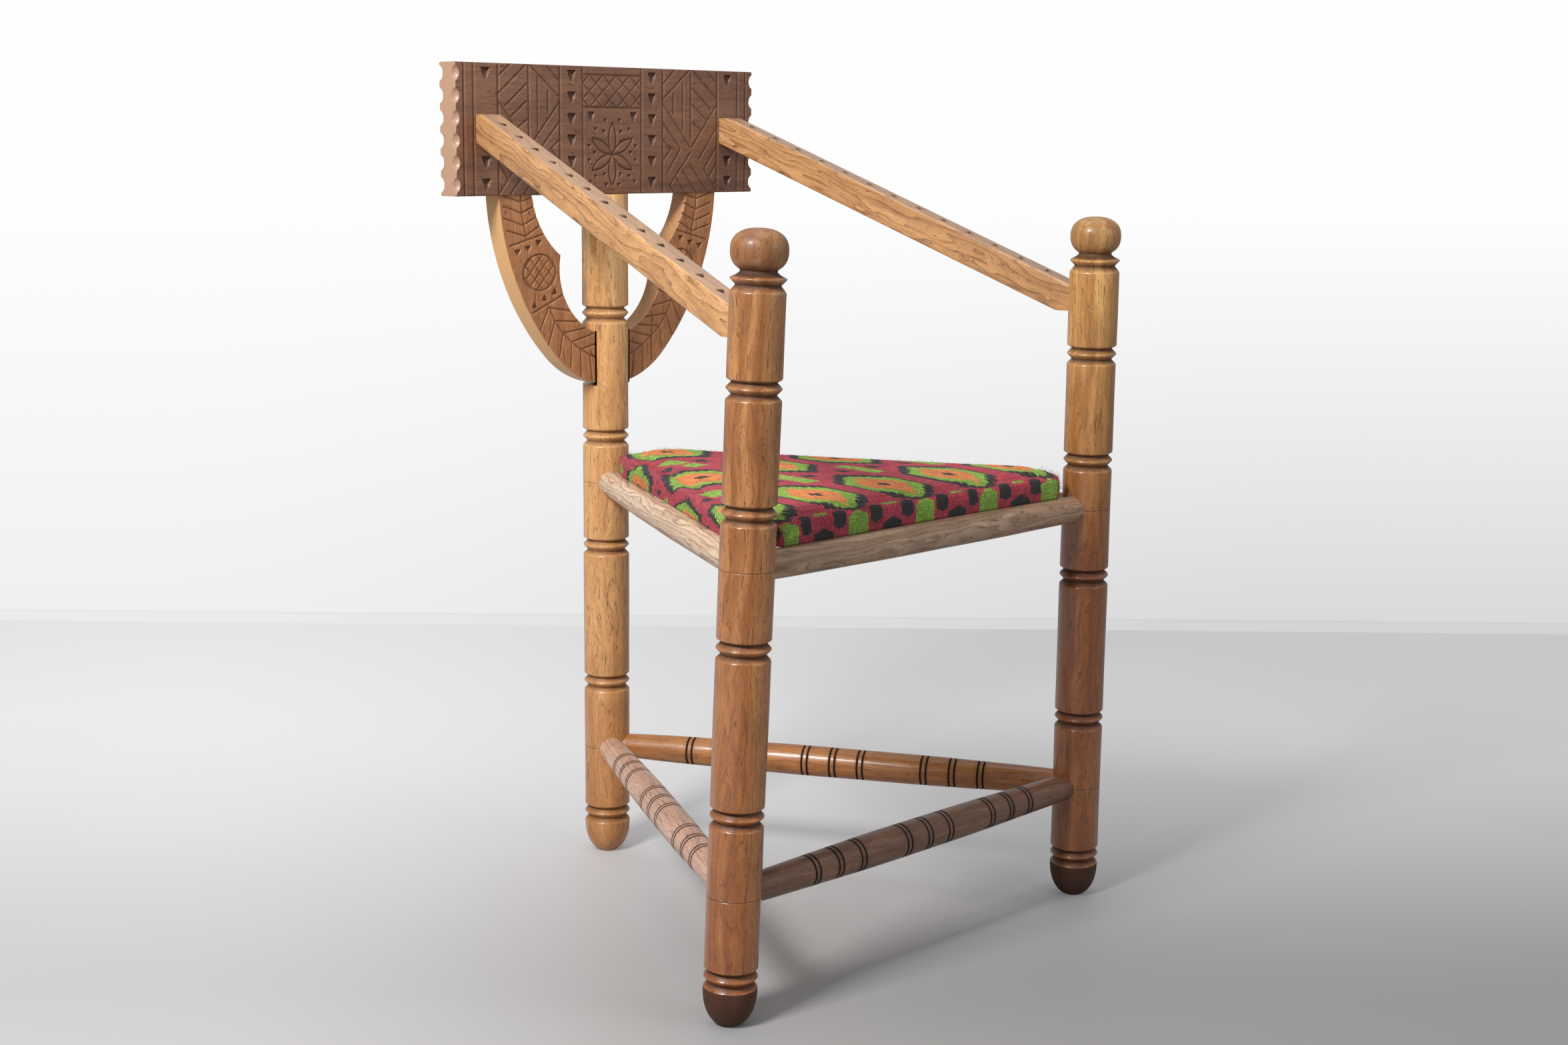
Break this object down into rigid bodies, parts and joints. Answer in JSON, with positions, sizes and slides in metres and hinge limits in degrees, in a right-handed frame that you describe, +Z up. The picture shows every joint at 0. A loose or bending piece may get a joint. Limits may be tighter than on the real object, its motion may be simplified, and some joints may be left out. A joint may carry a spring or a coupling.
{
  "type": "armchair",
  "caption": "Turned oak armchair on three posts with sloping arms, a scooped and chip-carved back board, a horseshoe brace and a loose wool seat.",
  "frame": {"origin": "on the floor, under the middle of the chair's outline", "axes": "+Z up, the front of the chair faces -Y, +X to the right as seen from the front"},
  "size_m": [0.5642, 0.5274, 0.869],
  "materials": {
    "post_oak": "waxed, golden brown",
    "board_oak": "stained dark reddish brown",
    "brace_oak": "waxed, mid brown",
    "arm_oak": "waxed, strong figure",
    "rail_oak": "raw, greyish",
    "stretcher_oak": "waxed",
    "pin_wood": "raw",
    "board_ply": "raw",
    "wadding": "fluffy",
    "wool": "woven wool in crimson, green, orange and black",
    "tack_steel": "blued",
    "screw_steel": "zinc"
  },
  "bodies": {
    "frame": {"back_post": "post_oak", "left_front_post": "post_oak", "right_front_post": "post_oak", "back_board": "board_oak", "horseshoe_brace": "brace_oak", "brace_peg": "pin_wood", "left_arm": "arm_oak", "right_arm": "arm_oak", "arm_dowels": "pin_wood", "front_seat_rail": "rail_oak", "left_seat_rail": "rail_oak", "right_seat_rail": "rail_oak", "front_stretcher": "stretcher_oak", "left_stretcher": "stretcher_oak", "right_stretcher": "stretcher_oak"},
    "seat": {"seat_board": "board_ply", "seat_padding": "wadding", "seat_cover": "wool", "cover_tacks": "tack_steel", "seat_cleats": "pin_wood", "cleat_screws": "screw_steel"}
  },
  "joints": [
    {"name": "seat_lift", "type": "slide", "parent": "frame", "child": "seat", "axis": [0, 0, 1], "range_m": [0, 0.12]}
  ]
}
